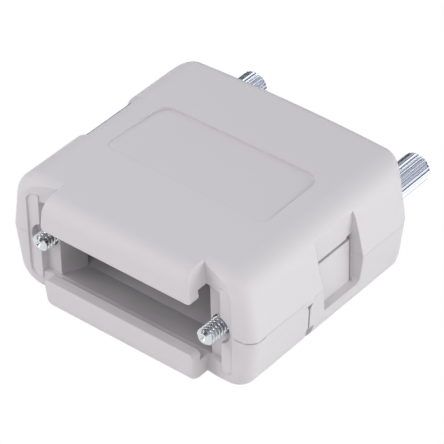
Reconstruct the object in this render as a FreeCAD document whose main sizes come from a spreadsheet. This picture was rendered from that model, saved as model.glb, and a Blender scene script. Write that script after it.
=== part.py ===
"""Plastic hood for a 15-way D-sub connector: two snap-together halves with two captive jackscrews.

Lengths are in millimetres. The origin is midway between the jackscrews, in the plane where the
connector's flange sits. X points right as the connector's end is faced, Y to the rear, Z up.
The halves meet in the plane Z = 0.
"""
import FreeCAD, Part
import math
import os

import Sketcher

doc = FreeCAD.newDocument("DSubHood")

SIZES = {
    # Outside of the hood, measured from the screw axes and the flange seat
    "screw_spacing": 33.3,
    "screw_to_side": 6.95,
    "side_draft": 1.6,
    "shell_height": 10.6,
    "side_front": 0.3,
    "front_slope": 1.38,
    "front_slope_inset": 1.0,
    "rear_depth": 38.85,
    "rear_bow": 0.9,
    "long_edge_radius": 4.6,
    "rear_corner_radius": 4.0,
    "rear_rim_radius": 1.5,
    "front_corner_radius": 2.2,
    "front_rim_radius": 2.7,
    # Lips that hold the connector's flange from the front
    "lip_front": 3.05,
    "lip_thickness": 2.0,
    "lip_gap": 4.73,
    "lip_to_screw": 2.05,
    "lip_draft": 0.8,
    "lip_corner_radius": 0.3,
    "lip_end_radius": 0.8,
    # Flange seat, groove behind the lips and mouth in the front wall
    "seat_to_screw": 3.05,
    "seat_to_top": 2.8,
    "seat_corner_radius": 1.5,
    "groove_to_screw": 0.85,
    "groove_height": 6.6,
    "groove_depth": 1.23,
    "mouth_to_screw": 1.95,
    "lane_wall": 1.2,
    # Walls round the cavity
    "front_wall": 2.0,
    "rear_wall": 2.0,
    "side_wall": 2.3,
    "roof_wall": 2.0,
    "cavity_bevel": 3.0,
    "cable_exit_diameter": 9.0,
    # Jackscrews, in their foremost place
    "thread_diameter": 2.84,
    "thread_length": 2.45,
    "tip_reach": 3.3,
    "tip_length": 0.3,
    "tip_diameter": 2.1,
    "tip_dimple_diameter": 0.9,
    "tip_dimple_depth": 0.4,
    "shank_diameter": 3.0,
    "head_diameter": 5.0,
    "head_length": 8.9,
    "head_bevel": 0.25,
    "head_gap": 0.1,
    "knurl_count": 24,
    "knurl_depth": 0.3,
    "knurl_width": 0.52,
    "screw_travel": 4.0,
    "right_screw_back": 0.3,
    "left_screw_back": 1.83,
    "screw_clearance": 0.1,
    "screw_scoop_diameter": 5.2,
    # Retaining clips and the ribs that they run between
    "clip_diameter": 5.0,
    "clip_thickness": 0.6,
    "clip_opening": 2.0,
    "clip_groove_diameter": 2.4,
    "clip_clearance": 0.05,
    "guide_rib_front": 6.0,
    "guide_rib_thickness": 1.2,
    "rear_rib_front": 28.2,
    # Latch at each side: a springy tongue of one half that enters a window of the other half
    "latch_depth": 2.2,
    "latch_front": 16.1,
    "latch_front_lean": 1.55,
    "latch_length": 9.75,
    "latch_rear_bulge": 0.25,
    "latch_rear_lean": 0.45,
    "latch_ledge": 5.2,
    "latch_bulge_height": 3.4,
    "latch_facet_low": 3.2,
    "latch_facet_height": 5.2,
    "latch_facet_rise": 0.6,
    "window_notch_width": 1.1,
    "window_notch_height": 0.5,
    "latch_corner_radius": 0.8,
    "tongue_height": 2.6,
    "tongue_thickness": 1.6,
    "tongue_gap": 0.35,
    "slit_place": 13.5,
    "slit_width": 0.35,
    "slit_end": 1.3,
    "slit_lean": 0.9,
    "notch_width": 1.3,
    "notch_drop": 1.1,
    "notch_depth": 1.0,
    "rim_tab_width": 2.4,
    "grip_flat_width": 2.63,
    "grip_flat_drop": 4.53,
    "hinge_groove_width": 0.35,
    "hinge_groove_depth": 0.4,
    "root_notch_front": 24.3,
    "root_notch_length": 1.9,
    "root_notch_width": 2.82,
    "root_notch_drop": 5.38,
    "heel_length": 1.7,
    # Step at the parting line, round the lower half's right front corner
    "parting_step_height": 0.2,
    "parting_step_depth": 0.13,
    "parting_step_length": 3.2,
    "parting_step_turn": 1.54,
    # Shallow panel on the top
    "panel_width": 30.7,
    "panel_front": 12.95,
    "panel_length": 13.7,
    "panel_depth": 0.45,
    "panel_front_depth": 0.03,
    "panel_corner_radius": 2.75,
    "panel_front_radius": 1.2,
    # Cable clamp: two bars, two screws and two nuts
    "clamp_width": 22.0,
    "clamp_length": 5.0,
    "clamp_bar_height": 5.4,
    "clamp_gap": 1.4,
    "clamp_rear_gap": 0.3,
    "clamp_bore_diameter": 7.0,
    "clamp_rib_thickness": 1.2,
    "clamp_screw_inset": 3.5,
    "clamp_screw_diameter": 2.5,
    "clamp_hole_clearance": 0.15,
    "clamp_head_diameter": 4.5,
    "clamp_head_height": 1.5,
    "clamp_slot_width": 0.7,
    "clamp_slot_depth": 0.8,
    "clamp_nut_flats": 5.0,
    "clamp_nut_height": 2.0,
    "clamp_nut_clearance": 0.1,
    "clamp_thread_clearance": 0.05,
}

sheet = doc.addObject("Spreadsheet::Sheet", "Size")
for row, (alias, size) in enumerate(SIZES.items(), 1):
    sheet.set(f"A{row}", alias.replace("_", " "))
    sheet.set(f"B{row}", str(size))
    sheet.setAlias(f"B{row}", alias)
doc.recompute()

# Places across the hood, from the middle
SCREW_X = "(Size.screw_spacing / 2)"
SIDE_X = f"({SCREW_X} + Size.screw_to_side)"
TOP_X = f"({SIDE_X} - Size.side_draft)"
LIP_X = f"({SCREW_X} - Size.lip_to_screw)"
SEAT_X = f"({SCREW_X} + Size.seat_to_screw)"
GROOVE_X = f"({SCREW_X} + Size.groove_to_screw)"
MOUTH_X = f"({SCREW_X} - Size.mouth_to_screw)"
CAVITY_X = f"({SIDE_X} - Size.side_wall)"
LATCH_X = f"({SIDE_X} - Size.latch_depth)"
TONGUE_X = f"({LATCH_X} - Size.tongue_thickness)"
CLAMP_SCREW_X = "(Size.clamp_width / 2 - Size.clamp_screw_inset)"

# Places from the flange seat to the rear
LIP_BACK = "(Size.lip_thickness - Size.lip_front)"
CAVITY_FRONT = "(Size.groove_depth + Size.front_wall)"
CAVITY_REAR = "(Size.rear_depth - Size.rear_wall)"
CHAMBER_FRONT = "(Size.guide_rib_front + Size.guide_rib_thickness)"
CHAMBER_REAR = f"({CHAMBER_FRONT} + Size.clip_thickness + Size.screw_travel + 2 * Size.clip_clearance)"
REAR_MIDDLE = "(Size.rear_depth + Size.rear_bow)"
HEAD_FRONT = f"({REAR_MIDDLE} + Size.head_gap)"
LATCH_REAR = "(Size.latch_front + Size.latch_length)"
TONGUE_FRONT = "(Size.latch_front + Size.tongue_gap)"
CLAMP_REAR = f"({CAVITY_REAR} - Size.clamp_rear_gap)"
CLAMP_FRONT = f"({CLAMP_REAR} - Size.clamp_length)"
CLAMP_MIDDLE = f"({CLAMP_FRONT} + Size.clamp_length / 2)"
CLAMP_RIB_REAR = f"({CLAMP_FRONT} - Size.clamp_rear_gap)"

# Places up from the parting plane
CAVITY_Z = "(Size.shell_height - Size.roof_wall)"
CLAMP_IN = "(Size.clamp_gap / 2)"
CLAMP_OUT = f"({CLAMP_IN} + Size.clamp_bar_height)"

# A cut that must pass right through a surface starts this far outside it
PAST = "1"
KNURL_PAST = "0.02"

# What grows out of a wall, or just clears it, starts this far inside or beyond it
OVERLAP = "0.25"

# An edge's direction is along an axis above this share, and two places are the same within this distance
ALONG, SAME = 0.9, 0.01

# Each view: origin plane, rotation for a loose sketch, and whether a pad towards +axis is reversed
VIEWS = {"front": ("XZ_Plane", True), "plan": ("XY_Plane", False), "side": ("YZ_Plane", False)}


def minus(expression):
    return f"-({expression})"


def signed(sign, expression):
    return expression if sign > 0 else minus(expression)


def span(sign, low, high):
    """A stretch from low to high, mirrored through the middle where the sign is negative."""
    return (low, high) if sign > 0 else (minus(high), minus(low))


def value(expression):
    return float(sheet.evalExpression(expression))


def rectangle(left, right, bottom, top):
    return [(left, bottom), (right, bottom), (right, top), (left, top)]


def new_body(name):
    body = doc.addObject("PartDesign::Body", name)
    body.Label = name
    return body


def origin_part(body, role):
    return next(part for part in body.Origin.OriginFeatures if part.Role == role)


def bind(drawing, kind, place, expression):
    number = drawing.addConstraint(Sketcher.Constraint(kind, *place, value(expression)))
    drawing.setExpression(f"Constraints[{number}]", expression)


def add_polygon(drawing, points):
    first = drawing.GeometryCount
    spots = [FreeCAD.Vector(value(across), value(up), 0) for across, up in points]
    for start, end in zip(spots, spots[1:] + spots[:1]):
        drawing.addGeometry(Part.LineSegment(start, end))
    for number, (across, up) in enumerate(points):
        line = first + number
        following = first + (number + 1) % len(points)
        drawing.addConstraint(Sketcher.Constraint("Coincident", line, 2, following, 1))
        bind(drawing, "DistanceX", (-1, 1, line, 1), across)
        bind(drawing, "DistanceY", (-1, 1, line, 1), up)


def add_circle(drawing, across, up, diameter):
    centre = FreeCAD.Vector(value(across), value(up), 0)
    number = drawing.addGeometry(Part.Circle(centre, FreeCAD.Vector(0, 0, 1), value(diameter) / 2))
    bind(drawing, "DistanceX", (-1, 1, number, 3), across)
    bind(drawing, "DistanceY", (-1, 1, number, 3), up)
    bind(drawing, "Diameter", (number,), diameter)


def sketch(body, name, view, level, loops):
    """A drawing in a view of the body: lists of corners are polygons, three sizes are a circle."""
    plane, towards_viewer = VIEWS[view]
    drawing = body.newObject("Sketcher::SketchObject", name)
    drawing.AttachmentSupport = (origin_part(body, plane), [""])
    drawing.MapMode = "FlatFace"
    drawing.setExpression("AttachmentOffset.Base.z", minus(level) if towards_viewer else level)
    for loop in loops:
        if isinstance(loop, list):
            add_polygon(drawing, loop)
        else:
            add_circle(drawing, *loop)
    return drawing


def pad(body, name, view, low, high, *loops):
    feature = body.newObject("PartDesign::Pad", name)
    feature.Profile = sketch(body, f"{name}_outline", view, low, loops)
    feature.setExpression("Length", f"{high} - ({low})")
    feature.Reversed = VIEWS[view][1]
    doc.recompute()
    return feature


def pocket(body, name, view, low, high, *loops):
    feature = body.newObject("PartDesign::Pocket", name)
    feature.Profile = sketch(body, f"{name}_outline", view, low, loops)
    feature.setExpression("Length", f"{high} - ({low})")
    feature.Reversed = not VIEWS[view][1]
    doc.recompute()
    return feature


def revolve(body, name, points):
    """A turned solid about the body's Y axis, from corners given as radius and place."""
    feature = body.newObject("PartDesign::Revolution", name)
    feature.Profile = sketch(body, f"{name}_outline", "plan", "0", [points])
    feature.ReferenceAxis = (origin_part(body, "Y_Axis"), [""])
    feature.Angle = 360
    doc.recompute()
    return feature


def round_edges(body, name, radius, chosen):
    """Rounds the edges of the body's last feature for which chosen(middle, direction) is true."""
    base = body.Tip
    edges = []
    for number, edge in enumerate(base.Shape.Edges, 1):
        if isinstance(edge.Curve, Part.Line) and chosen(edge.CenterOfMass, edge.tangentAt(edge.FirstParameter)):
            edges.append(f"Edge{number}")
    feature = body.newObject("PartDesign::Fillet", name)
    feature.Base = (base, edges)
    feature.setExpression("Radius", radius)
    doc.recompute()
    return feature


def near(number, expression):
    return abs(number - value(expression)) < SAME


def bow_rear(block, name, low, high):
    """Bows the rear face outwards in plan, with a circle through its ends and its middle."""
    radius = f"(({SIDE_X} ^ 2 + Size.rear_bow ^ 2) / (2 * Size.rear_bow))"
    centre_y = f"({REAR_MIDDLE} - {radius})"
    half = f"({radius} + {PAST})"
    around = rectangle(minus(half), half, f"{centre_y} - {half}", f"{centre_y} + {half}")
    pocket(block, f"{name}_bow", "plan", low, high, around, ("0", centre_y, f"2 * {radius}"))


def rounded_block(name, up):
    """The outside of one half: a drafted block whose long, rear and front edges have their own radii."""
    block = doc.addObject("PartDesign::Body", f"{name}_block")
    height = signed(up, "Size.shell_height")
    corners = [(minus(SIDE_X), "0"), (SIDE_X, "0"), (TOP_X, height), (minus(TOP_X), height)]
    pad(block, f"{name}_block_pad", "front", "-Size.side_front", REAR_MIDDLE, corners)
    low, high = span(up, f"-{PAST}", f"Size.shell_height + {PAST}")
    bow_rear(block, name, low, high)
    rounded = doc.addObject("Part::Fillet", f"{name}_rounded")
    rounded.Base = block
    radii = []
    for number, edge in enumerate(block.Shape.Edges, 1):
        middle = edge.CenterOfMass
        along = edge.tangentAt(edge.FirstParameter)
        place = "front" if middle.y < value("Size.rear_depth") / 2 else "rear"
        if near(middle.z, "0"):
            continue
        if abs(along.y) > ALONG:
            alias = "long_edge_radius"
        elif abs(along.x) > ALONG:
            alias = f"{place}_rim_radius"
        else:
            alias = f"{place}_corner_radius"
        radius = value(f"Size.{alias}")
        radii.append((number, radius, radius))
    rounded.Edges = radii
    doc.recompute()
    return rounded


def slope_front(body, name, up):
    """Slopes the front faces back from the seats' outer edges to the lip's ends, round the flat seats."""
    low, high = span(up, "0", f"Size.shell_height + {PAST}")
    inner_x = f"({LIP_X} - Size.front_slope_inset)"
    inner_y = "(Size.front_slope - Size.side_front)"
    past_y = f"(-Size.side_front - {PAST})"
    outline = [(minus(SEAT_X), "-Size.side_front"), (minus(SEAT_X), past_y), (SEAT_X, past_y),
               (SEAT_X, "-Size.side_front"), (inner_x, inner_y), (minus(inner_x), inner_y)]
    pocket(body, f"{name}_slopes", "plan", low, high, outline)
    bottom, top = span(up, "0", "(Size.shell_height - Size.seat_to_top)")
    flats = [rectangle(*span(side, GROOVE_X, SEAT_X), bottom, top) for side in (1, -1)]
    pad(body, f"{name}_seat_flats", "front", "0", inner_y, *flats)


def add_lip(body, name, up):
    bottom = signed(up, "Size.lip_gap")
    top = signed(up, "Size.shell_height")
    top_x = f"({LIP_X} - Size.lip_draft)"
    corners = [(minus(LIP_X), bottom), (LIP_X, bottom), (top_x, top), (minus(top_x), top)]
    rear = f"Size.front_rim_radius - Size.side_front + {OVERLAP}"
    pad(body, f"{name}_lip", "front", "-Size.lip_front", rear, corners)

    def bottom_end(middle, along):
        return abs(along.y) > ALONG and near(abs(middle.z), "Size.lip_gap") and near(abs(middle.x), LIP_X)

    def front_top(middle, along):
        return abs(along.x) > ALONG and near(middle.y, "-Size.lip_front") and near(abs(middle.z), "Size.shell_height")

    def front_end(middle, along):
        return abs(along.z) > ALONG and near(middle.y, "-Size.lip_front")

    round_edges(body, f"{name}_lip_ends", "Size.lip_end_radius", bottom_end)
    round_edges(body, f"{name}_lip_rim", "Size.front_rim_radius", front_top)
    round_edges(body, f"{name}_lip_corners", "Size.lip_corner_radius", front_end)


def cut_flange_seat(body, name, up):
    """The shallow seats of the flange's ears, the groove behind the lip and scoops round the screws."""
    height = "(Size.shell_height - Size.seat_to_top)"
    arc_x = f"({SEAT_X} - Size.seat_corner_radius)"
    arc_z = f"({height} - Size.seat_corner_radius)"
    corners = [(LIP_X, "0"), (SEAT_X, "0"), (SEAT_X, arc_z), (arc_x, arc_z), (arc_x, height), (LIP_X, height)]
    seats = [[(signed(side, across), signed(up, level)) for across, level in corners] for side in (1, -1)]
    pocket(body, f"{name}_seats", "front", "-Size.side_front", "0", *seats)
    arcs = [(signed(side, arc_x), signed(up, arc_z), "2 * Size.seat_corner_radius") for side in (1, -1)]
    pocket(body, f"{name}_seat_corners", "front", "-Size.side_front", "0", *arcs)
    groove = rectangle(minus(GROOVE_X), GROOVE_X, "0", signed(up, "Size.groove_height"))
    pocket(body, f"{name}_groove", "front", LIP_BACK, "Size.groove_depth", groove)
    scoops = [(f"{side}{SCREW_X}", "0", "Size.screw_scoop_diameter") for side in ("", "-")]
    pocket(body, f"{name}_scoops", "front", "-Size.side_front", "Size.groove_depth", *scoops)


def cut_cavity(body, name, up):
    shoulder_z = signed(up, f"({CAVITY_Z} - Size.cavity_bevel)")
    roof_z = signed(up, CAVITY_Z)
    drafted_x = f"({CAVITY_X} - Size.side_draft / 2)"
    roof_x = f"({drafted_x} - Size.cavity_bevel)"
    right = [(CAVITY_X, "0"), (drafted_x, shoulder_z), (roof_x, roof_z)]
    left = [(minus(across), height) for across, height in reversed(right)]
    pocket(body, f"{name}_cavity", "front", CAVITY_FRONT, CAVITY_REAR, right + left)


def cut_mouth(body, name, up):
    """A mouth between two screw lanes, whose floor slopes from the groove down to the cavity's wall."""
    deep_z = signed(up, f"({CAVITY_Z} + Size.roof_wall / 2)")
    outer_x = f"({MOUTH_X} + Size.lane_wall)"
    front = f"({CAVITY_FRONT} - Size.front_wall / 2)"
    lining = rectangle(minus(outer_x), outer_x, "0", deep_z)
    pad(body, f"{name}_lining", "front", front, CHAMBER_FRONT, lining)
    floor_z = signed(up, "Size.groove_height")
    slope = [("0", "0"), ("0", floor_z), ("Size.groove_depth", floor_z),
             (CHAMBER_FRONT, signed(up, CAVITY_Z)), (CHAMBER_FRONT, "0")]
    pocket(body, f"{name}_mouth", "side", minus(MOUTH_X), MOUTH_X, slope)


def add_ribs(body, name, up):
    """Walls from the sides and the roof that guide the screws and stop the clips, and hold the clamp."""
    deep_z = signed(up, f"({CAVITY_Z} + Size.roof_wall / 2)")
    shoulder_z = signed(up, f"({CAVITY_Z} - Size.cavity_bevel)")
    deep_x = f"({CAVITY_X} + {OVERLAP})"
    roof_x = f"({CAVITY_X} - Size.cavity_bevel / 2)"
    profile = [(MOUTH_X, "0"), (deep_x, "0"), (deep_x, shoulder_z), (roof_x, deep_z), (MOUTH_X, deep_z)]
    rib_fronts = ["Size.guide_rib_front", CHAMBER_REAR, "Size.rear_rib_front"]
    for number, front in enumerate(rib_fronts, 1):
        ribs = [[(f"{side}{across}", height) for across, height in profile] for side in ("", "-")]
        pad(body, f"{name}_guide_rib_{number}", "front", front, f"{front} + Size.guide_rib_thickness", *ribs)
    clamp_rib = rectangle(minus(MOUTH_X), MOUTH_X, signed(up, CLAMP_OUT), deep_z)
    low = f"({CLAMP_RIB_REAR} - Size.clamp_rib_thickness)"
    pad(body, f"{name}_clamp_rib", "front", low, CLAMP_RIB_REAR, clamp_rib)


def cut_screw_ways(body, name, up):
    clear = "Size.shank_diameter + 2 * Size.screw_clearance"
    ways = [(f"{side}{SCREW_X}", "0", clear) for side in ("", "-")]
    pocket(body, f"{name}_screw_ways", "front", "0", f"{REAR_MIDDLE} + {PAST}", *ways)
    cable_exit = ("0", "0", "Size.cable_exit_diameter")
    pocket(body, f"{name}_cable_exit", "front", CAVITY_REAR, f"{REAR_MIDDLE} + {PAST}", cable_exit)


def back_latch(body, name, side, grow):
    """A thicker side wall behind the latch recess. The tongue grows towards grow along Z."""
    low, high = span(side, TONGUE_X, f"({CAVITY_X} + {OVERLAP})")
    front = "Size.slit_place + Size.slit_width"
    deep_z = signed(grow, f"({CAVITY_Z} - Size.cavity_bevel / 2)")
    backing = rectangle(front, f"{LATCH_REAR} + Size.tongue_thickness", "0", deep_z)
    pad(body, f"{name}_latch_backing", "side", low, high, backing)


def cut_latch_recess(body, name, side, grow):
    """A recess with a bulging rear wall, whose floor leans out to the surface at the top."""
    past_x = f"({SIDE_X} + {PAST})"
    facet_high = "(Size.latch_facet_low + Size.latch_facet_height)"
    bulge = f"({LATCH_REAR} + Size.latch_rear_bulge)"
    low_front = "(Size.latch_front + Size.latch_front_lean)"
    levels = [
        ("-Size.latch_ledge", LATCH_X, low_front, bulge),
        ("Size.latch_bulge_height - Size.latch_ledge", LATCH_X, f"({low_front} + Size.latch_front) / 2", bulge),
        ("Size.latch_facet_low", LATCH_X, "Size.latch_front", LATCH_REAR),
        (facet_high, f"({LATCH_X} + Size.latch_facet_rise)", "Size.latch_front",
         f"({LATCH_REAR} - Size.latch_rear_lean)"),
    ]
    drawings = []
    for number, (level, floor_x, front, rear) in enumerate(levels, 1):
        points = [(signed(side, across), along) for across, along in
                  [(past_x, front), (floor_x, front), (floor_x, rear), (past_x, rear)]]
        drawings.append(sketch(body, f"{name}_recess_{number}", "plan", signed(grow, level), [points]))
    feature = body.newObject("PartDesign::SubtractiveLoft", f"{name}_recess")
    feature.Profile = drawings[0]
    feature.Sections = drawings[1:]
    feature.Ruled = True
    doc.recompute()


def round_recess_corner(body, name):
    """Rounds the corner between the ledge and the rear wall of a recess."""

    def ledge_corner(middle, along):
        at_ledge = near(abs(middle.z), "Size.latch_ledge") and abs(along.x) > ALONG
        return at_ledge and near(middle.y, f"{LATCH_REAR} + Size.latch_rear_bulge")

    round_edges(body, f"{name}_recess_corner", "Size.latch_corner_radius", ledge_corner)


def add_tongue(body, name, side, grow):
    """The springy tongue, the slits that free it and the notch at the parting line."""
    low, high = span(side, f"({TONGUE_X} - {PAST})", f"({SIDE_X} + {PAST})")
    slit_front = "(Size.slit_place - Size.slit_width / 2)"
    slit_rear = "(Size.slit_place + Size.slit_width / 2)"
    slit_end = "(Size.shell_height - Size.slit_end)"
    slit = [
        ("Size.slit_place - Size.notch_width / 2", "Size.notch_drop"),
        ("Size.slit_place + Size.notch_width / 2", "Size.notch_drop"),
        (slit_rear, "Size.notch_drop + Size.notch_depth"),
        (f"{slit_rear} + Size.slit_lean", slit_end),
        (f"{slit_front} + Size.slit_lean", slit_end),
        (slit_front, "Size.notch_drop + Size.notch_depth"),
    ]
    pocket(body, f"{name}_slit", "side", low, high, [(along, signed(-grow, depth)) for along, depth in slit])
    tab_half = "Size.rim_tab_width / 2"
    rim = rectangle(f"Size.slit_place - {tab_half}", f"Size.slit_place + {tab_half}",
                    "0", signed(-grow, "Size.notch_drop"))
    pocket(body, f"{name}_rim_gap", "side", low, high, rim)
    rear_low, rear_high = span(side, f"({TONGUE_X} - {PAST})", f"({LATCH_X} + {OVERLAP})")
    rear_slit = rectangle(f"{LATCH_REAR} - Size.tongue_gap", LATCH_REAR, "0", signed(-grow, "Size.latch_ledge"))
    pocket(body, f"{name}_rear_slit", "side", rear_low, rear_high, rear_slit)
    pad_low, pad_high = span(side, TONGUE_X, LATCH_X)
    tongue = rectangle(TONGUE_FRONT, f"{LATCH_REAR} - Size.tongue_gap",
                       signed(-grow, PAST), signed(grow, "Size.tongue_height"))
    pad(body, f"{name}_tongue", "side", pad_low, pad_high, tongue)


def add_latch_window(body, name, side, grow):
    """The window that takes the other half's tongue, and the tab that closes its front slit's top."""
    low, high = span(side, f"({TONGUE_X} - {PAST})", f"({LATCH_X} + {OVERLAP})")
    notch_front = f"({LATCH_REAR} - Size.window_notch_width)"
    notch_top = "(Size.latch_facet_low + Size.window_notch_height)"
    outline = [("Size.latch_front", "0"), (LATCH_REAR, "0"), (LATCH_REAR, notch_top), (notch_front, notch_top),
               (notch_front, "Size.latch_facet_low"), ("Size.latch_front", "Size.latch_facet_low")]
    window = [(along, signed(grow, level)) for along, level in outline]
    pocket(body, f"{name}_window", "side", low, high, window)
    inner_x = f"({CAVITY_X} + {OVERLAP})"
    slope = "Size.side_draft / Size.shell_height"
    tab = [(inner_x, PAST), (f"{SIDE_X} - {PAST} * {slope}", PAST), (SIDE_X, "0"),
           (f"{SIDE_X} - Size.notch_drop * {slope}", "-Size.notch_drop"), (inner_x, "-Size.notch_drop")]
    corners = [(signed(side, across), signed(grow, height)) for across, height in tab]
    tab_half = "Size.rim_tab_width / 2"
    pad(body, f"{name}_rim_tab", "front", f"(Size.slit_place - {tab_half})", f"Size.slit_place + {tab_half}", corners)


def shell(name, up):
    """One half of the hood. Its own tongue is on the left in the upper half, on the right in the lower."""
    body = new_body(name)
    body.BaseFeature = rounded_block(name, up)
    doc.recompute()
    slope_front(body, name, up)
    add_lip(body, name, up)
    cut_flange_seat(body, name, up)
    cut_cavity(body, name, up)
    cut_mouth(body, name, up)
    add_ribs(body, name, up)
    cut_screw_ways(body, name, up)
    back_latch(body, f"{name}_own", -up, up)
    back_latch(body, f"{name}_other", up, up)
    cut_latch_recess(body, f"{name}_own", -up, -up)
    round_recess_corner(body, f"{name}_own")
    cut_latch_recess(body, f"{name}_other", up, up)
    add_tongue(body, f"{name}_own", -up, -up)
    add_latch_window(body, f"{name}_other", up, up)
    return body


def add_panel(body):
    """A shallow panel in the top whose floor rises towards the surface at its front."""
    rear = "Size.panel_front + Size.panel_length"
    wedge = [
        ("Size.panel_front", "Size.shell_height - Size.panel_front_depth"),
        (rear, "Size.shell_height - Size.panel_depth"),
        (rear, f"Size.shell_height + {PAST}"),
        ("Size.panel_front", f"Size.shell_height + {PAST}"),
    ]
    half = "Size.panel_width / 2"
    pocket(body, "panel", "side", minus(half), half, wedge)

    for place, along_y in (("corner", rear), ("front", "Size.panel_front")):

        def chosen(middle, along):
            at_side = near(abs(middle.x), "Size.panel_width / 2") and near(middle.y, along_y)
            return at_side and abs(along.z) > ALONG and middle.z > value("Size.shell_height - 2 * Size.panel_depth")

        round_edges(body, f"panel_{place}s", f"Size.panel_{place}_radius", chosen)


def cut_edge_flat(body, name, up, width, drop, front, rear):
    """A flat along the long edge over a half's own tongue, so wide on the face and so deep on the side."""
    top = f"(Size.shell_height + {PAST})"
    past_x = f"({SIDE_X} + {PAST})"
    slope = f"({drop} / (Size.side_draft + {width}))"
    corners = [(f"{TOP_X} - {width} - {PAST} / {slope}", top),
               (past_x, f"Size.shell_height - {drop} - {PAST} * {slope}"), (past_x, top)]
    pocket(body, f"{body.Label}_{name}", "front", front, rear,
           [(signed(-up, across), signed(up, height)) for across, height in corners])


def cut_grip(body):
    """The flat over the upper half's own tongue, the groove that lets it bend and the notch at its rear."""
    front, rear = "Size.slit_place", "Size.root_notch_front"
    cut_edge_flat(body, "grip_flat", 1, "Size.grip_flat_width", "Size.grip_flat_drop", front, rear)
    slope = "Size.grip_flat_drop / (Size.side_draft + Size.grip_flat_width)"
    groove_x = f"({TOP_X} - Size.grip_flat_width + Size.hinge_groove_depth)"
    floor = f"(Size.shell_height - Size.hinge_groove_depth * (1 + {slope}))"
    groove_rim = f"(Size.hinge_groove_width - {groove_x})"
    groove = rectangle(minus(groove_x), groove_rim, floor, f"(Size.shell_height + {PAST})")
    pocket(body, "hinge_groove", "front", front, rear, groove)
    root_rear = f"{rear} + Size.root_notch_length"
    cut_edge_flat(body, "root_notch", 1, "Size.root_notch_width", "Size.root_notch_drop", rear, root_rear)


def cut_parting_step(body):
    """A shallow step round the lower half's right front corner, just under the parting plane."""
    inner_x = f"({SIDE_X} - Size.parting_step_depth)"
    inner_y = "(Size.parting_step_depth - Size.side_front)"
    turn = "Size.parting_step_turn"
    past_x = f"({SIDE_X} + {PAST})"
    start_x = f"({SIDE_X} - Size.parting_step_length)"
    rear = "(Size.parting_step_length - Size.side_front)"
    past_y = f"(-Size.side_front - {PAST})"
    outline = [(start_x, inner_y), (f"{inner_x} - {turn}", inner_y), (inner_x, f"{inner_y} + {turn}"),
               (inner_x, rear), (past_x, rear), (past_x, past_y), (start_x, past_y)]
    pocket(body, "parting_step", "plan", "-Size.parting_step_height", "0", outline)


def jackscrew(name, side, back):
    """A long captive screw with its axis on the body's Y axis, drawn in its foremost place."""
    body = new_body(name)
    tip_y = "-Size.tip_reach"
    thread_front = f"{tip_y} + Size.tip_length"
    groove_front = f"({CHAMBER_FRONT} + Size.clip_clearance / 2)"
    groove_rear = f"({CHAMBER_FRONT} + Size.clip_thickness + 3 * Size.clip_clearance / 2)"
    thread = "Size.thread_diameter / 2"
    shank = "Size.shank_diameter / 2"
    groove = "Size.clip_groove_diameter / 2"
    head = "Size.head_diameter / 2"
    head_rear = f"{HEAD_FRONT} + Size.head_length"
    points = [
        ("0", f"{tip_y} + Size.tip_dimple_depth"),
        ("Size.tip_dimple_diameter / 2", tip_y),
        ("Size.tip_diameter / 2", tip_y),
        (thread, thread_front),
        (thread, f"{thread_front} + Size.thread_length"),
        (shank, f"{thread_front} + Size.thread_length"),
        (shank, groove_front),
        (groove, groove_front),
        (groove, groove_rear),
        (shank, groove_rear),
        (shank, HEAD_FRONT),
        (f"{head} - Size.head_bevel", HEAD_FRONT),
        (head, f"{HEAD_FRONT} + Size.head_bevel"),
        (head, f"{head_rear} - Size.head_bevel"),
        (f"{head} - Size.head_bevel", head_rear),
        ("0", head_rear),
    ]
    revolve(body, f"{name}_turned", points)
    vee = [
        ("-Size.knurl_width / 2", f"{head} + {KNURL_PAST}"),
        ("Size.knurl_width / 2", f"{head} + {KNURL_PAST}"),
        ("0", f"{head} - Size.knurl_depth"),
    ]
    groove_cut = pocket(body, f"{name}_knurl_groove", "front", HEAD_FRONT, head_rear, vee)
    knurl = body.newObject("PartDesign::PolarPattern", f"{name}_knurl")
    knurl.Originals = [groove_cut]
    knurl.Axis = (origin_part(body, "Y_Axis"), [""])
    knurl.Angle = 360
    knurl.setExpression("Occurrences", "Size.knurl_count")
    body.Tip = knurl
    body.setExpression("Placement.Base.x", signed(side, SCREW_X))
    body.setExpression("Placement.Base.y", back)
    doc.recompute()
    return body


def retaining_clip(name, side, back):
    """An open spring ring in the screw's groove."""
    body = new_body(name)
    front = f"{CHAMBER_FRONT} + Size.clip_clearance"
    rear = f"{front} + Size.clip_thickness"
    inner = "Size.clip_groove_diameter + 2 * Size.clip_clearance"
    pad(body, f"{name}_ring", "front", front, rear, ("0", "0", "Size.clip_diameter"), ("0", "0", inner))
    opening = rectangle("-Size.clip_opening / 2", "Size.clip_opening / 2", "-Size.clip_diameter", "0")
    pocket(body, f"{name}_opening", "front", f"{front} - {PAST}", f"{rear} + {PAST}", opening)
    body.setExpression("Placement.Base.x", signed(side, SCREW_X))
    body.setExpression("Placement.Base.y", back)
    doc.recompute()
    return body


def clamp_bar(name, up):
    """A saddle of the cable clamp, with a groove for the cable and two screw holes."""
    body = new_body(name)
    half = "Size.clamp_width / 2"
    inner = signed(up, CLAMP_IN)
    outer = signed(up, CLAMP_OUT)
    pad(body, f"{name}_bar", "front", CLAMP_FRONT, CLAMP_REAR, rectangle(minus(half), half, inner, outer))
    groove = ("0", "0", "Size.clamp_bore_diameter")
    pocket(body, f"{name}_groove", "front", f"{CLAMP_FRONT} - {PAST}", f"{CLAMP_REAR} + {PAST}", groove)
    low, high = span(up, CLAMP_IN, CLAMP_OUT)
    hole = "Size.clamp_screw_diameter + 2 * Size.clamp_hole_clearance"
    holes = [(signed(side, CLAMP_SCREW_X), CLAMP_MIDDLE, hole) for side in (1, -1)]
    pocket(body, f"{name}_holes", "plan", f"{low} - {PAST}", f"{high} + {PAST}", *holes)
    return body


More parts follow.
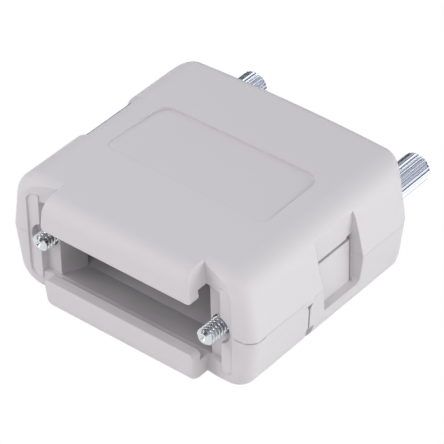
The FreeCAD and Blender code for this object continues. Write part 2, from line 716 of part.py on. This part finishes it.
def clamp_screw(name, side):
    """A slotted screw down through both bars, its head on the upper bar."""
    body = new_body(name)
    across = signed(side, CLAMP_SCREW_X)
    head_top = f"{CLAMP_OUT} + Size.clamp_head_height"
    pad(body, f"{name}_head", "plan", CLAMP_OUT, head_top, (across, CLAMP_MIDDLE, "Size.clamp_head_diameter"))
    shank = (across, CLAMP_MIDDLE, "Size.clamp_screw_diameter")
    pad(body, f"{name}_shank", "plan", minus(CLAMP_OUT), CLAMP_OUT, shank)
    half_slot = "Size.clamp_slot_width / 2"
    slot = rectangle(
        f"{across} - Size.clamp_head_diameter", f"{across} + Size.clamp_head_diameter",
        f"{CLAMP_MIDDLE} - {half_slot}", f"{CLAMP_MIDDLE} + {half_slot}",
    )
    pocket(body, f"{name}_slot", "plan", f"{head_top} - Size.clamp_slot_depth", f"{head_top} + {PAST}", slot)
    return body


def clamp_nut(name, side):
    """A hexagonal nut in a pocket under the lower bar."""
    body = new_body(name)
    across = signed(side, CLAMP_SCREW_X)
    bore = "Size.clamp_screw_diameter + 2 * Size.clamp_thread_clearance"
    low = minus(CLAMP_OUT)
    pad(body, f"{name}_hexagon", "plan", low, f"{low} + Size.clamp_nut_height", hexagon(across, CLAMP_MIDDLE, "0"))
    pocket(body, f"{name}_bore", "plan", f"{low} - {PAST}", f"{low} + Size.clamp_nut_height + {PAST}",
           (across, CLAMP_MIDDLE, bore))
    return body


def hexagon(across, up, clearance):
    """A hexagon round a centre, two flats along the first axis, larger by a clearance on each flat."""
    radius = f"(Size.clamp_nut_flats / 2 + {clearance}) / cos(30 deg)"
    corners = []
    for number in range(6):
        angle = 30 + 60 * number
        corners.append((f"{across} + {radius} * cos({angle} deg)", f"{up} + {radius} * sin({angle} deg)"))
    return corners


def cut_nut_pockets(body):
    low = minus(f"{CLAMP_OUT} + {PAST}")
    high = f"-{CLAMP_OUT} + Size.clamp_nut_height + Size.clamp_nut_clearance"
    pockets = [hexagon(signed(side, CLAMP_SCREW_X), CLAMP_MIDDLE, "Size.clamp_nut_clearance") for side in (1, -1)]
    pocket(body, "nut_pockets", "plan", low, high, *pockets)


upper_shell = shell("upper_shell", 1)
add_panel(upper_shell)
cut_grip(upper_shell)
lower_shell = shell("lower_shell", -1)
cut_edge_flat(lower_shell, "heel", -1, "Size.root_notch_width", "Size.root_notch_drop",
              "Size.slit_place", "Size.slit_place + Size.heel_length")
cut_parting_step(lower_shell)
nodes = [upper_shell, lower_shell]
for place, side in (("right", 1), ("left", -1)):
    back = f"Size.{place}_screw_back"
    nodes.append(jackscrew(f"jackscrew_{place}", side, back))
    nodes.append(retaining_clip(f"retaining_clip_{place}", side, back))
    nodes.append(clamp_screw(f"clamp_screw_{place}", side))
    nodes.append(clamp_nut(f"clamp_nut_{place}", side))
nodes.append(clamp_bar("clamp_bar_upper", 1))
lower_bar = clamp_bar("clamp_bar_lower", -1)
cut_nut_pockets(lower_bar)
nodes.append(lower_bar)
doc.recompute()


def check_model():
    """Stops if a feature failed, cut or added nothing, or left a node that isn't one sound solid."""
    for item in doc.Objects:
        if "Invalid" in item.State or "Error" in item.State:
            raise RuntimeError(f"{item.Name}: {item.State}")
        earlier = getattr(item, "BaseFeature", None)
        if earlier is None or item.TypeId in ("PartDesign::Body", "PartDesign::FeatureBase"):
            continue
        change = item.Shape.Volume - earlier.Shape.Volume
        if math.isclose(change, 0, abs_tol=1e-6):
            raise RuntimeError(f"{item.Name} changes nothing")
        if item.TypeId in ("PartDesign::Pocket", "PartDesign::SubtractiveLoft") and change > 0:
            raise RuntimeError(f"{item.Name} adds material")
        if item.TypeId == "PartDesign::Pad" and change < 0:
            raise RuntimeError(f"{item.Name} removes material")
    for node in nodes:
        if node.Shape.isNull() or not node.Shape.isValid() or len(node.Shape.Solids) != 1:
            raise RuntimeError(f"{node.Label} isn't one sound solid")


check_model()
os.makedirs("parts", exist_ok=True)
for node in nodes:
    node.Shape.exportStep(os.path.join("parts", f"{node.Label}.step"))
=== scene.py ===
"""A matt light-grey plastic hood with two bright zinc-plated jackscrews, lying on a white studio floor.

The frame is the part's own: X right, Y to the rear, Z up, with the parting plane at Z = 0. Blender works in
metres. The named sizes are in millimetres, where no other unit is given, and MM turns them to metres.
"""
import math

import bmesh
import bpy
from mathutils import Matrix, Vector


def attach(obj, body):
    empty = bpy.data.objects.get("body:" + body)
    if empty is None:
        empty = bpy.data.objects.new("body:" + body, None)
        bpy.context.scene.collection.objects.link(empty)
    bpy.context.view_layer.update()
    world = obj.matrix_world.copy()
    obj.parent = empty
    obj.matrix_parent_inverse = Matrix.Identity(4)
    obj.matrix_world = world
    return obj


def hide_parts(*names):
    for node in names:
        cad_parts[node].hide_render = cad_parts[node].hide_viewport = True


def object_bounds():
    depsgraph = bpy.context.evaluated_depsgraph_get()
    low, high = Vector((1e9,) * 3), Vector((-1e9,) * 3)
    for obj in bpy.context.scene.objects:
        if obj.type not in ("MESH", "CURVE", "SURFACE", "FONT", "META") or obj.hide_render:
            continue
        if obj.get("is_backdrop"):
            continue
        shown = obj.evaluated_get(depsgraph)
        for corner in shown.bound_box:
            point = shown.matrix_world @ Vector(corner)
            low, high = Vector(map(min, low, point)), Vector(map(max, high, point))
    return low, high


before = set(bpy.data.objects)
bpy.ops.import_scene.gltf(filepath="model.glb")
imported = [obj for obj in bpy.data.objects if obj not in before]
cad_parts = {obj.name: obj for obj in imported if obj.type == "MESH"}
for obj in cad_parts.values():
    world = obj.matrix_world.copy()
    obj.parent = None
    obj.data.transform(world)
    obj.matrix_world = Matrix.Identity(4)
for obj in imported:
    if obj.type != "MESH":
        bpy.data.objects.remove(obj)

first_low, first_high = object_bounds()

MM = 0.001

# The photograph's camera, in degrees and millimetres. It aims beside the middle of the lips' front.
AZIMUTH, ELEVATION, ROLL = 40.25, 38.29, -1.45
DISTANCE, AIM_RIGHT, AIM_UP = 440.36, 15.94, 10.07
LIP_FRONT_Y = -3.05
LENS, SENSOR = 243.24, 36.0

# Plastic. The softness is the radius to which its shading rounds each edge.
PLASTIC_COLOUR, PLASTIC_ROUGHNESS, PLASTIC_IOR = "#C9C8CA", 0.55, 1.5
GRAINS_PER_MM, GRAIN_DETAIL = 6, 3.0
GRAIN_STRENGTH, GRAIN_HEIGHT = 0.25, 0.03
EDGE_SOFTNESS, EDGE_SAMPLES = 0.22, 6

# Metals
ZINC_COLOUR, ZINC_ROUGHNESS = "#D6DBDF", 0.17
KNURL_COLOUR, KNURL_ROUGHNESS = "#C3C6CE", 0.3
SPRING_COLOUR, SPRING_ROUGHNESS = "#9A9CA0", 0.35

# Jackscrews, as in the part but with a finer tip, each drawn a little back from its foremost place
SCREW_X = 16.65
SCREW_BACK = {"right": 0.3, "left": 1.83}
THREAD_RADIUS, THREAD_PITCH, THREAD_DEPTH = 1.42, 0.635, 0.38
THREAD_FRONT, THREAD_REAR, THREAD_RUNOUT = -3.3, 6.5, 0.2
TIP_LENGTH, TIP_RADIUS = 0.3, 0.85
DIMPLE_RADIUS, DIMPLE_DEPTH, DIMPLE_POINT = 0.5, 0.45, 0.025
SHANK_RADIUS, SHOULDER_LENGTH = 1.5, 0.05
CLIP_GROOVE_FRONT, CLIP_GROOVE_REAR, CLIP_GROOVE_RADIUS = 7.225, 7.875, 1.2
HEAD_FRONT, HEAD_REAR, HEAD_RADIUS, HEAD_BEVEL = 39.85, 48.75, 2.5, 0.25
KNURL_COUNT, KNURL_DEPTH = 24, 0.3

# Groove profile: shares of the spacing, from a crest's middle, at which its flat ends and the root begins
THREAD_CREST, KNURL_CREST, ROOT_START = 0.14, 0.08, 0.44

# How far a cut runs past an open end
CUT_PAST = 0.1

# Fineness of the turned mesh
STEPS_PER_RIDGE, RINGS_PER_PITCH, RINGS_PER_BEVEL = 8, 10, 3
KNURL_RING_SPACING = 1.0

# White page. The gap keeps the floor clear of the hood's underside, and the half width is in metres.
PAGE_COLOUR, PAGE_STRENGTH = "#FFFFFF", 1.0
FLOOR_GAP = 0.02
FLOOR_HALF_WIDTH = 3.0

# Soft square lamps, in metres. Each has its azimuth and elevation in degrees, power in watts and colour.
LAMP_DISTANCE, LAMP_SIZE = 0.6, 0.5
LAMPS = {
    "left front": (-45, 30, 1.95, "#FFFAFB"),
    "rear left": (250, 40, 1.28, "#F0F5FF"),
    "camera side": (40, 45, 1.92, "#FFF9FB"),
    "right rear": (130, 15, 1.9, "#F4F8FF"),
    "right low": (100, 6, 1.8, "#FFFBF4"),
}
AIR_COLOUR, AIR_STRENGTH = "#FFFFFF", 0.1


def linear(code):
    """An sRGB hex colour as the linear colour that shaders take."""
    parts = [int(code[place:place + 2], 16) / 255 for place in (1, 3, 5)]
    return [part / 12.92 if part <= 0.04045 else ((part + 0.055) / 1.055) ** 2.4 for part in parts] + [1]


def add_node(tree, kind, **settings):
    """Adds a node and sets its properties, such as operation, and its inputs.

    An input is named with _ for a space, or with i and its number. A socket given for an input is joined to
    it, and so is the first output of a node.
    """
    node = tree.nodes.new(kind)
    for name, value in settings.items():
        if hasattr(node, name):
            setattr(node, name, value)
            continue
        numbered = name[0] == "i" and name[1:].isdigit()
        socket = node.inputs[int(name[1:])] if numbered else node.inputs[name.replace("_", " ")]
        if isinstance(value, bpy.types.Node):
            value = value.outputs[0]
        if isinstance(value, bpy.types.NodeSocket):
            tree.links.new(value, socket)
        else:
            socket.default_value = value
    return node


def new_material(name):
    """A material with an empty node tree, and that tree."""
    material = bpy.data.materials.new(name)
    material.use_nodes = True
    material.node_tree.nodes.clear()
    return material, material.node_tree


def moulded_plastic():
    """Moulded light-grey ABS from a finely eroded mould: matt and even, with a soft line along each edge."""
    material, tree = new_material("moulded grey ABS")
    place = add_node(tree, "ShaderNodeTexCoord").outputs["Object"]
    # The real grain is too fine to show, so this one is drawn coarser
    grain = add_node(tree, "ShaderNodeTexNoise", Vector=place, Scale=GRAINS_PER_MM / MM, Detail=GRAIN_DETAIL)
    edges = add_node(tree, "ShaderNodeBevel", samples=EDGE_SAMPLES, Radius=EDGE_SOFTNESS * MM)
    bump = add_node(tree, "ShaderNodeBump", Height=grain, Strength=GRAIN_STRENGTH, Distance=GRAIN_HEIGHT * MM,
                    Normal=edges)
    shader = add_node(tree, "ShaderNodeBsdfPrincipled", Base_Color=linear(PLASTIC_COLOUR), IOR=PLASTIC_IOR,
                      Roughness=PLASTIC_ROUGHNESS, Normal=bump)
    add_node(tree, "ShaderNodeOutputMaterial", Surface=shader)
    return material


def metal(name, colour, roughness):
    """A bare metal of one even colour."""
    material, tree = new_material(name)
    shader = add_node(tree, "ShaderNodeBsdfPrincipled", Base_Color=linear(colour), Metallic=1.0,
                      Roughness=roughness)
    add_node(tree, "ShaderNodeOutputMaterial", Surface=shader)
    return material


def zinc_plate():
    """Bright zinc plate on turned steel: a cool silver, whose sharp reflections show every thread."""
    return metal("bright zinc-plated steel", ZINC_COLOUR, ZINC_ROUGHNESS)


def knurled_zinc_plate():
    """The same plate on a rolled knurl, which is rougher: its ridges shine softly and a little bluish."""
    return metal("knurled zinc-plated steel", KNURL_COLOUR, KNURL_ROUGHNESS)


def spring_steel():
    """Plain stamped spring steel: a darker grey with a blurred shine."""
    return metal("plain spring steel", SPRING_COLOUR, SPRING_ROUGHNESS)


def groove_group():
    """Node group that cuts evenly spaced grooves round a turned solid: a thread or a straight knurl.

    Grooves round are those met on one way round the axis, so a thread has one. Grooves along are those met on
    one metre of the axis. Crest share is where a crest's flat ends, in shares of the spacing from its middle.
    """
    group = bpy.data.node_groups.new("Cut grooves", "GeometryNodeTree")
    group.interface.new_socket("Geometry", in_out="INPUT", socket_type="NodeSocketGeometry")
    for name in ("Start", "End", "Outer radius", "Depth", "Grooves round", "Grooves along", "Crest share"):
        group.interface.new_socket(name, in_out="INPUT", socket_type="NodeSocketFloat")
    group.interface.new_socket("Material", in_out="INPUT", socket_type="NodeSocketMaterial")
    group.interface.new_socket("Geometry", in_out="OUTPUT", socket_type="NodeSocketGeometry")
    given = add_node(group, "NodeGroupInput").outputs
    place = add_node(group, "GeometryNodeInputPosition")
    parts = add_node(group, "ShaderNodeSeparateXYZ", Vector=place).outputs

    # How far a point lies from the middle of its crest, which is half way through the spacing
    angle = add_node(group, "ShaderNodeMath", operation="ARCTAN2", i0=parts["Z"], i1=parts["X"])
    turn = add_node(group, "ShaderNodeMath", operation="DIVIDE", i0=angle, i1=math.tau)
    around = add_node(group, "ShaderNodeMath", operation="MULTIPLY", i0=turn, i1=given["Grooves round"])
    along = add_node(group, "ShaderNodeMath", operation="MULTIPLY", i0=parts["Y"], i1=given["Grooves along"])
    passed = add_node(group, "ShaderNodeMath", operation="ADD", i0=around, i1=along)
    phase = add_node(group, "ShaderNodeMath", operation="FRACT", i0=passed)
    offset = add_node(group, "ShaderNodeMath", operation="SUBTRACT", i0=phase, i1=0.5)
    from_crest = add_node(group, "ShaderNodeMath", operation="ABSOLUTE", i0=offset)

    # The point is drawn in towards the axis where it stands outside the groove's own radius
    cut = add_node(group, "ShaderNodeMapRange", Value=from_crest, From_Min=given["Crest share"],
                   From_Max=ROOT_START, To_Min=0.0, To_Max=given["Depth"])
    limit = add_node(group, "ShaderNodeMath", operation="SUBTRACT", i0=given["Outer radius"], i1=cut)
    across = add_node(group, "ShaderNodeCombineXYZ", X=parts["X"], Z=parts["Z"])
    radius = add_node(group, "ShaderNodeVectorMath", operation="LENGTH", i0=across).outputs["Value"]
    kept = add_node(group, "ShaderNodeMath", operation="MINIMUM", i0=radius, i1=limit)
    share = add_node(group, "ShaderNodeMath", operation="DIVIDE", i0=kept, i1=radius)
    shares = add_node(group, "ShaderNodeCombineXYZ", X=share, Y=1.0, Z=share)
    drawn_in = add_node(group, "ShaderNodeVectorMath", operation="MULTIPLY", i0=place, i1=shares)

    # Both the cut and the material keep to the stretch from start to end
    after = add_node(group, "ShaderNodeMath", operation="GREATER_THAN", i0=parts["Y"], i1=given["Start"])
    before = add_node(group, "ShaderNodeMath", operation="LESS_THAN", i0=parts["Y"], i1=given["End"])
    between = add_node(group, "ShaderNodeMath", operation="MULTIPLY", i0=after, i1=before)
    moved = add_node(group, "GeometryNodeSetPosition", Geometry=given["Geometry"], Selection=between,
                     Position=drawn_in)
    whole = add_node(group, "GeometryNodeRealizeInstances", Geometry=moved)
    finished = add_node(group, "GeometryNodeSetMaterial", Geometry=whole, Selection=between,
                        Material=given["Material"])
    add_node(group, "NodeGroupOutput", Geometry=finished)
    return group


def add_grooves(piece, group, **sizes):
    """Puts the groove group on a piece and sets its inputs, each named with _ for a space."""
    modifier = piece.modifiers.new("grooves", "NODES")
    modifier.node_group = group
    for socket in group.interface.items_tree:
        name = socket.name.replace(" ", "_")
        if socket.in_out == "INPUT" and name in sizes:
            modifier[socket.identifier] = sizes[name]


def stations(corners):
    """Rings (place, radius) of a turned solid, from its corners (place, radius, spacing).

    The spacing is that of the rings up to the next corner, with no ring between them where it is None.
    """
    rings = []
    for (start, start_radius, spacing), (end, end_radius, _) in zip(corners, corners[1:]):
        count = math.ceil((end - start) / spacing) if spacing else 1
        for number in range(count):
            share = number / count
            rings.append((start + (end - start) * share, start_radius + (end_radius - start_radius) * share))
    rings.append(corners[-1][:2])
    return rings


def turned(name, rings, segments):
    """A closed solid of revolution about the Y axis, from rings in millimetres."""
    mesh = bmesh.new()
    loops = []
    for place, radius in rings:
        loop = []
        for number in range(segments):
            angle = math.tau * number / segments
            across, up = radius * math.cos(angle), radius * math.sin(angle)
            loop.append(mesh.verts.new((across * MM, place * MM, up * MM)))
        loops.append(loop)
    for near, far in zip(loops, loops[1:]):
        for number in range(segments):
            following = (number + 1) % segments
            mesh.faces.new((near[number], near[following], far[following], far[number]))
    mesh.faces.new(loops[0])
    mesh.faces.new(reversed(loops[-1]))
    bmesh.ops.recalc_face_normals(mesh, faces=mesh.faces)
    data = bpy.data.meshes.new(name)
    mesh.to_mesh(data)
    mesh.free()
    piece = bpy.data.objects.new(name, data)
    bpy.context.collection.objects.link(piece)
    return piece


def bake(piece, place):
    """Turns a piece with modifiers into a plain mesh at its place, with the object at the origin."""
    bpy.context.view_layer.update()
    graph = bpy.context.evaluated_depsgraph_get()
    data = bpy.data.meshes.new_from_object(piece.evaluated_get(graph))
    data.transform(Matrix.Translation(place))
    piece.modifiers.clear()
    piece.data = data


def screw_corners():
    """Corners of a jackscrew's outline, from the dimple in its tip to the rear of its head."""
    thread_spacing = THREAD_PITCH / RINGS_PER_PITCH
    bevel_spacing = HEAD_BEVEL / RINGS_PER_BEVEL
    return [
        (THREAD_FRONT + DIMPLE_DEPTH, DIMPLE_POINT, None),
        (THREAD_FRONT, DIMPLE_RADIUS, None),
        (THREAD_FRONT, TIP_RADIUS, thread_spacing),
        (THREAD_FRONT + TIP_LENGTH, THREAD_RADIUS, thread_spacing),
        (THREAD_REAR, THREAD_RADIUS, None),
        (THREAD_REAR + SHOULDER_LENGTH, SHANK_RADIUS, None),
        (CLIP_GROOVE_FRONT, SHANK_RADIUS, None),
        (CLIP_GROOVE_FRONT, CLIP_GROOVE_RADIUS, None),
        (CLIP_GROOVE_REAR, CLIP_GROOVE_RADIUS, None),
        (CLIP_GROOVE_REAR, SHANK_RADIUS, None),
        (HEAD_FRONT, SHANK_RADIUS, None),
        (HEAD_FRONT, HEAD_RADIUS - HEAD_BEVEL, bevel_spacing),
        (HEAD_FRONT + HEAD_BEVEL, HEAD_RADIUS, KNURL_RING_SPACING),
        (HEAD_REAR - HEAD_BEVEL, HEAD_RADIUS, bevel_spacing),
        (HEAD_REAR, HEAD_RADIUS - HEAD_BEVEL, None),
    ]


def jackscrew(side, sign, grooves, finish, knurl_finish):
    """A screw with real thread turns in front and a straight knurl round its head."""
    piece = turned(f"jackscrew_{side}_turned", stations(screw_corners()), KNURL_COUNT * STEPS_PER_RIDGE)
    piece.data.materials.append(finish)
    add_grooves(piece, grooves, Start=(THREAD_FRONT - CUT_PAST) * MM, End=(THREAD_REAR - THREAD_RUNOUT) * MM,
                Outer_radius=THREAD_RADIUS * MM, Depth=THREAD_DEPTH * MM, Grooves_round=1.0,
                Grooves_along=1 / (THREAD_PITCH * MM), Crest_share=THREAD_CREST, Material=finish)
    add_grooves(piece, grooves, Start=(HEAD_FRONT - CUT_PAST) * MM, End=(HEAD_REAR + CUT_PAST) * MM,
                Outer_radius=HEAD_RADIUS * MM, Depth=KNURL_DEPTH * MM, Grooves_round=float(KNURL_COUNT),
                Grooves_along=0.0, Crest_share=KNURL_CREST, Material=knurl_finish)
    bake(piece, Vector((sign * SCREW_X, SCREW_BACK[side], 0)) * MM)
    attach(piece, f"{side}_screw")
    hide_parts(f"jackscrew_{side}")


def dress(nodes, finish):
    """Gives CAD nodes a finish."""
    for name in nodes:
        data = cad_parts[name].data
        data.materials.clear()
        data.materials.append(finish)


def white_paper():
    """Matt white paper, which the camera and the metal's reflections see as the page's one even white."""
    material, tree = new_material("matt white paper")
    path = add_node(tree, "ShaderNodeLightPath").outputs
    seen = add_node(tree, "ShaderNodeMath", operation="MAXIMUM", i0=path["Is Camera Ray"],
                    i1=path["Is Glossy Ray"])
    paper = add_node(tree, "ShaderNodeBsdfDiffuse", Color=linear(PAGE_COLOUR))
    page = add_node(tree, "ShaderNodeEmission", Color=linear(PAGE_COLOUR), Strength=PAGE_STRENGTH)
    mixed = add_node(tree, "ShaderNodeMixShader", i0=seen, i1=paper, i2=page)
    add_node(tree, "ShaderNodeOutputMaterial", Surface=mixed)
    return material


def floor():
    """A wide sheet of white paper just under the hood."""
    half, height = FLOOR_HALF_WIDTH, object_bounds()[0].z - FLOOR_GAP * MM
    corners = [(-half, -half, height), (half, -half, height), (half, half, height), (-half, half, height)]
    data = bpy.data.meshes.new("floor")
    data.from_pydata(corners, [], [(0, 1, 2, 3)])
    data.materials.append(white_paper())
    piece = bpy.data.objects.new("floor", data)
    bpy.context.collection.objects.link(piece)
    piece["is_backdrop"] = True


def towards(turn, rise):
    """The direction from the hood to a viewer, from its azimuth and elevation in radians."""
    return Vector((math.sin(turn) * math.cos(rise), -math.cos(turn) * math.cos(rise), math.sin(rise)))


def lamp(name, azimuth, elevation, power, colour):
    """A square soft light that looks at the hood's middle."""
    data = bpy.data.lights.new(name, "AREA")
    data.shape = "SQUARE"
    data.size = LAMP_SIZE
    data.energy = power
    data.color = linear(colour)[:3]
    piece = bpy.data.objects.new(name, data)
    back = towards(math.radians(azimuth), math.radians(elevation))
    middle = (first_low + first_high) / 2
    piece.location = middle + back * LAMP_DISTANCE
    piece.rotation_mode = "QUATERNION"
    piece.rotation_quaternion = (-back).to_track_quat("-Z", "Y")
    bpy.context.collection.objects.link(piece)


def air():
    """White air: a weak light from all round, which the camera sees as the page's white."""
    world = bpy.data.worlds.new("studio")
    world.use_nodes = True
    tree = world.node_tree
    tree.nodes.clear()
    seen = add_node(tree, "ShaderNodeLightPath").outputs["Is Camera Ray"]
    glow = add_node(tree, "ShaderNodeBackground", Color=linear(AIR_COLOUR), Strength=AIR_STRENGTH)
    page = add_node(tree, "ShaderNodeBackground", Color=linear(PAGE_COLOUR), Strength=PAGE_STRENGTH)
    mixed = add_node(tree, "ShaderNodeMixShader", i0=seen, i1=glow, i2=page)
    add_node(tree, "ShaderNodeOutputWorld", Surface=mixed)
    bpy.context.scene.world = world


def camera():
    """The photograph's camera: a long lens that looks down on the hood from its right front."""
    turn, rise, roll = (math.radians(angle) for angle in (AZIMUTH, ELEVATION, ROLL))
    back = towards(turn, rise)
    level = Vector((math.cos(turn), math.sin(turn), 0))
    upright = back.cross(level)
    right = math.cos(roll) * level + math.sin(roll) * upright
    up = math.cos(roll) * upright - math.sin(roll) * level
    eye = level * AIM_RIGHT + upright * AIM_UP + back * DISTANCE + Vector((0, LIP_FRONT_Y, 0))
    data = bpy.data.cameras.new("camera")
    data.lens = LENS
    data.sensor_width = SENSOR
    piece = bpy.data.objects.new("camera", data)
    piece.matrix_world = Matrix.Translation(eye * MM) @ Matrix((right, up, back)).transposed().to_4x4()
    bpy.context.collection.objects.link(piece)
    bpy.context.scene.camera = piece


bpy.context.scene.view_settings.view_transform = "Standard"
zinc = zinc_plate()
knurled_zinc = knurled_zinc_plate()
dress(["upper_shell", "lower_shell", "clamp_bar_upper", "clamp_bar_lower"], moulded_plastic())
dress(["clamp_screw_right", "clamp_screw_left", "clamp_nut_right", "clamp_nut_left"], zinc)
dress(["retaining_clip_right", "retaining_clip_left"], spring_steel())
groove_cutter = groove_group()
for screw_side, screw_sign in (("right", 1), ("left", -1)):
    jackscrew(screw_side, screw_sign, groove_cutter, zinc, knurled_zinc)
floor()
for lamp_name, lamp_sizes in LAMPS.items():
    lamp(lamp_name, *lamp_sizes)
air()
camera()
